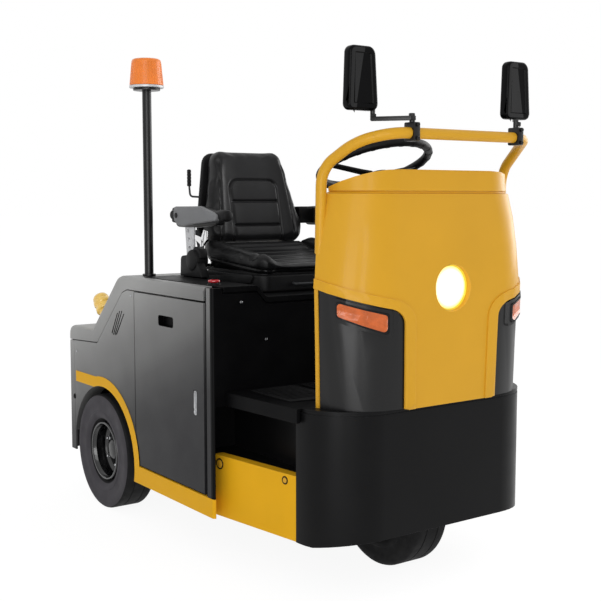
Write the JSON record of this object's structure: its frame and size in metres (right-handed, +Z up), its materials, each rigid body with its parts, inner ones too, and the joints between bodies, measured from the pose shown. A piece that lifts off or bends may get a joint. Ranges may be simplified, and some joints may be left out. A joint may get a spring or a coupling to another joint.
{
  "type": "three-wheel electric tow tractor",
  "caption": "Three-wheel electric tow tractor with a tall yellow front cowl, open side steps, a driver's seat on the battery lid, battery doors, a beacon on a mast and a stepped rear coupling.",
  "frame": {"origin": "on the floor below the middle of the vehicle's length and width", "axes": "+X to the vehicle's left, +Y to its rear, +Z up"},
  "size_m": [0.994, 1.742, 1.6124],
  "materials": {
    "frame_steel": "semi-gloss black paint on steel",
    "black_paint": "satin black powder coat",
    "yellow_paint": "gloss warm yellow paint",
    "grey_paint": "satin dark grey paint",
    "tyre_rubber": "matt black rubber",
    "rim_steel": "dark painted steel",
    "black_plastic": "grained black plastic",
    "black_vinyl": "black seat vinyl with a fine grain",
    "amber_plastic": "clear-coated amber plastic",
    "lamp_lens": "clear lamp lens over a bright reflector",
    "bright_metal": "polished",
    "red_plastic": "gloss red plastic",
    "pedal_rubber": "ribbed rubber"
  },
  "bodies": {
    "chassis": {"chassis_frame": "frame_steel", "rear_axle": "frame_steel", "front_bumper": "black_paint", "step_panel_right": "yellow_paint", "step_panel_left": "yellow_paint", "floor_plate": "black_paint", "front_cowl": "yellow_paint", "cowl_corner_right": "black_paint", "cowl_corner_left": "black_paint", "turn_signal_right": "amber_plastic", "turn_signal_left": "amber_plastic", "headlight": "lamp_lens", "dashboard": "black_plastic", "steering_column": "black_plastic", "handrail": "yellow_paint", "mirror_right": "black_plastic", "mirror_left": "black_plastic", "rear_cover": "grey_paint", "side_panel_right": "grey_paint", "side_panel_left": "grey_paint", "rear_panel": "grey_paint", "fender_trim_right": "yellow_paint", "fender_trim_left": "yellow_paint", "seat_box": "black_paint", "battery_block": "frame_steel", "beacon_mast": "black_paint", "beacon_lamp": "amber_plastic", "rear_lamp_right": "amber_plastic", "rear_lamp_left": "amber_plastic", "pedals": "pedal_rubber", "tow_coupling": "frame_steel", "coupling_pin": "bright_metal"},
    "rear_wheel_right": {"rear_rim_right": "rim_steel", "rear_tyre_right": "tyre_rubber"},
    "rear_wheel_left": {"rear_rim_left": "rim_steel", "rear_tyre_left": "tyre_rubber"},
    "front_yoke": {"front_fork": "frame_steel"},
    "front_wheel": {"front_rim": "rim_steel", "front_tyre": "tyre_rubber"},
    "steering_wheel": {"steering_wheel": "black_plastic"},
    "door_right": {"battery_door_right": "grey_paint", "door_latch_right": "bright_metal"},
    "door_left": {"battery_door_left": "grey_paint", "door_latch_left": "bright_metal"},
    "seat_lid": {"seat_deck": "black_paint", "seat_base": "black_plastic", "seat_cushion": "black_vinyl", "seat_backrest": "black_vinyl", "seat_shell": "black_plastic", "armrest_right": "black_plastic", "armrest_left": "black_plastic", "belt_reel": "black_plastic", "emergency_switch": "red_plastic"}
  },
  "joints": [
    {"name": "rear_wheel_right_spin", "type": "hinge", "parent": "chassis", "child": "rear_wheel_right", "pos_m": [-0.421, 0.50725, 0.21], "axis": [1, 0, 0], "continuous": true},
    {"name": "rear_wheel_left_spin", "type": "hinge", "parent": "chassis", "child": "rear_wheel_left", "pos_m": [0.421, 0.50725, 0.21], "axis": [1, 0, 0], "continuous": true},
    {"name": "front_steering", "type": "hinge", "parent": "chassis", "child": "front_yoke", "pos_m": [0, -0.55775, 0.445], "axis": [0, 0, 1], "range_deg": [-75, 75]},
    {"name": "front_wheel_spin", "type": "hinge", "parent": "front_yoke", "child": "front_wheel", "pos_m": [0, -0.55575, 0.2], "axis": [1, 0, 0], "continuous": true},
    {"name": "steering_wheel_turn", "type": "hinge", "parent": "chassis", "child": "steering_wheel", "pos_m": [0, -0.46175, 1.2435], "axis": [0, 0.3665, 0.9304], "range_deg": [-540, 540]},
    {"name": "door_right_swing", "type": "hinge", "parent": "chassis", "child": "door_right", "pos_m": [-0.497, 0.21925, 0.52], "axis": [0, 0, -1], "range_deg": [0, 110]},
    {"name": "door_left_swing", "type": "hinge", "parent": "chassis", "child": "door_left", "pos_m": [0.497, 0.21925, 0.52], "axis": [0, 0, 1], "range_deg": [0, 110]},
    {"name": "seat_lid_lift", "type": "hinge", "parent": "chassis", "child": "seat_lid", "pos_m": [0, 0.21825, 0.877], "axis": [-1, 0, 0], "range_deg": [0, 50]}
  ],
  "couplings": [
    {"joint": "steering_wheel_turn", "follows": "front_steering", "ratio": 7.2}
  ]
}
